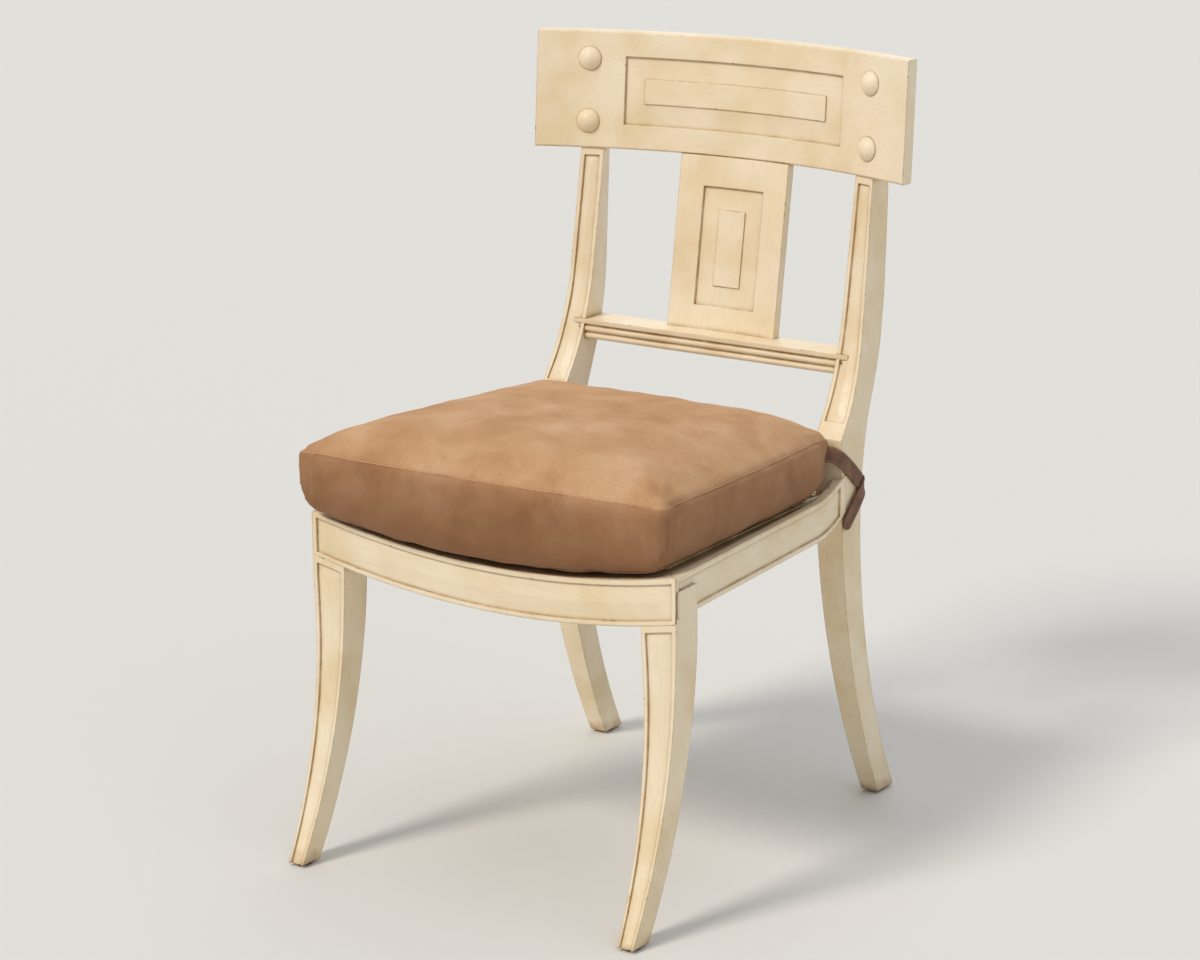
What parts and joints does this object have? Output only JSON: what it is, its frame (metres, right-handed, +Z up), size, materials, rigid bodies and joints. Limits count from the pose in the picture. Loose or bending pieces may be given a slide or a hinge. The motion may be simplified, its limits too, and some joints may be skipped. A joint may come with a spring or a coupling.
{
  "type": "klismos chair",
  "caption": "Klismos dining chair: sabre legs, dished moulded seat frame, curved tablet crest with fielded panel, cane seat under a loose tied suede cushion.",
  "frame": {"origin": "centre of the footprint's box, on the floor under the glides", "axes": "+Z up, +Y towards the chair's back, +X towards the sitter's left"},
  "size_m": [0.516, 0.6161, 0.903],
  "materials": {
    "painted_wood": "antiqued ivory paint with umber glaze and worn arrises",
    "bare_beech": "planed, unfinished",
    "screw_steel": "plain",
    "cane": "split cane, natural gloss",
    "suede_cover": "brushed suede with a pale top stitch",
    "seat_foam": "cut foam wrapped in wadding",
    "suede_ties": "suede strip with stitched edges",
    "glide_rubber": "moulded black"
  },
  "bodies": {
    "frame": {"front_rail": "painted_wood", "side_rail_left": "painted_wood", "side_rail_right": "painted_wood", "rear_rail": "painted_wood", "front_leg_left": "painted_wood", "front_leg_right": "painted_wood", "rear_post_left": "painted_wood", "rear_post_right": "painted_wood", "crest_rail": "painted_wood", "splat": "painted_wood", "stay_rail": "painted_wood", "crest_bosses": "painted_wood", "corner_blocks": "bare_beech", "rail_dowels": "bare_beech", "crest_screws": "screw_steel", "corner_screws": "screw_steel", "cane_panel": "cane", "cane_spline": "cane", "tie_straps": "suede_ties", "floor_glides": "glide_rubber"},
    "cushion": {"cushion_cover": "suede_cover", "cushion_core": "seat_foam"}
  },
  "joints": [
    {"name": "cushion_tilt", "type": "hinge", "parent": "frame", "child": "cushion", "pos_m": [0, 0.15297, 0.473], "axis": [-1, 0, 0], "range_deg": [0, 60]}
  ]
}
